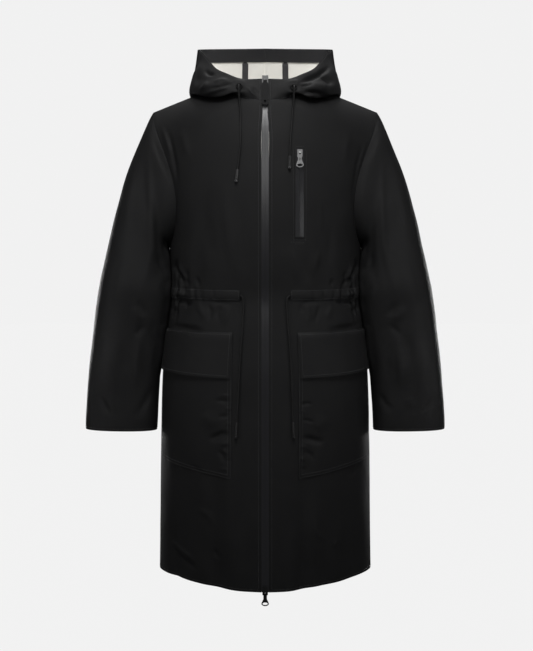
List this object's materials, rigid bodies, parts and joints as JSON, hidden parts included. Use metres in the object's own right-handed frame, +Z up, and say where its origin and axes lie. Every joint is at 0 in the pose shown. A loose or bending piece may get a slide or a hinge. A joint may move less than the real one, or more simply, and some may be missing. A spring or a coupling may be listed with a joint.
{
  "type": "raincoat",
  "caption": "Long hooded raincoat, hung as if worn: full-length zip, chest zip, waist and hood drawcords, flapped patch pockets.",
  "frame": {"origin": "between the shoulder seams at the base of the neck, on the plane of symmetry, where the coat rests on the wearer's shoulders", "axes": "+Z up along the wearer's spine, +X to the wearer's left, -Y out of the coat's front"},
  "size_m": [0.7458, 0.3825, 1.1297],
  "materials": {
    "shell_black": "matt coated weave",
    "hood_cloth": "matt coated weave, cream inner face",
    "trim_black": "matt",
    "coated_tape": "coated, half gloss",
    "cord_cloth": "braided, matt",
    "cord_end": "gloss",
    "eyelet": "matt",
    "painted_slider": "half gloss",
    "rubber_pull": "matt"
  },
  "bodies": {
    "coat": {"back": "shell_black", "chest_zip_frame": "trim_black", "chest_zip_slider": "painted_slider", "chest_zip_strip_inner": "coated_tape", "chest_zip_strip_outer": "coated_tape", "front_left": "shell_black", "front_right": "shell_black", "hood_centre": "hood_cloth", "hood_cord_end_left": "cord_end", "hood_cord_end_right": "cord_end", "hood_cord_left": "cord_cloth", "hood_cord_right": "cord_cloth", "hood_eyelet_left": "eyelet", "hood_eyelet_right": "eyelet", "hood_rim_facing": "trim_black", "hood_seam_tape_left": "trim_black", "hood_seam_tape_right": "trim_black", "hood_side_left": "hood_cloth", "hood_side_right": "hood_cloth", "pocket_flap_left": "shell_black", "pocket_flap_right": "shell_black", "pocket_left": "shell_black", "pocket_right": "shell_black", "sleeve_left": "shell_black", "sleeve_right": "shell_black", "waist_casing_back": "shell_black", "waist_casing_left": "shell_black", "waist_casing_right": "shell_black", "waist_cord_end_left": "cord_end", "waist_cord_end_right": "cord_end", "waist_cord_left": "cord_cloth", "waist_cord_right": "cord_cloth", "zip_slider_bottom": "painted_slider", "zip_slider_top": "painted_slider", "zip_tape_left": "coated_tape", "zip_tape_right": "coated_tape"},
    "top_pull": {"zip_pull_top": "rubber_pull"},
    "bottom_pull": {"zip_pull_bottom": "painted_slider"},
    "chest_pull": {"chest_zip_pull": "painted_slider"}
  },
  "joints": [
    {"name": "top_pull_hinge", "type": "hinge", "parent": "coat", "child": "top_pull", "pos_m": [0, -0.09223, 0.00013], "axis": [-1, 0, 0], "range_deg": [0, 140]},
    {"name": "bottom_pull_hinge", "type": "hinge", "parent": "coat", "child": "bottom_pull", "pos_m": [0, -0.1747, -1.014], "axis": [-1, 0, 0], "range_deg": [0, 140]},
    {"name": "chest_pull_hinge", "type": "hinge", "parent": "coat", "child": "chest_pull", "pos_m": [0.06819, -0.12906, -0.14364], "axis": [-1, 0, 0], "range_deg": [0, 140]}
  ]
}
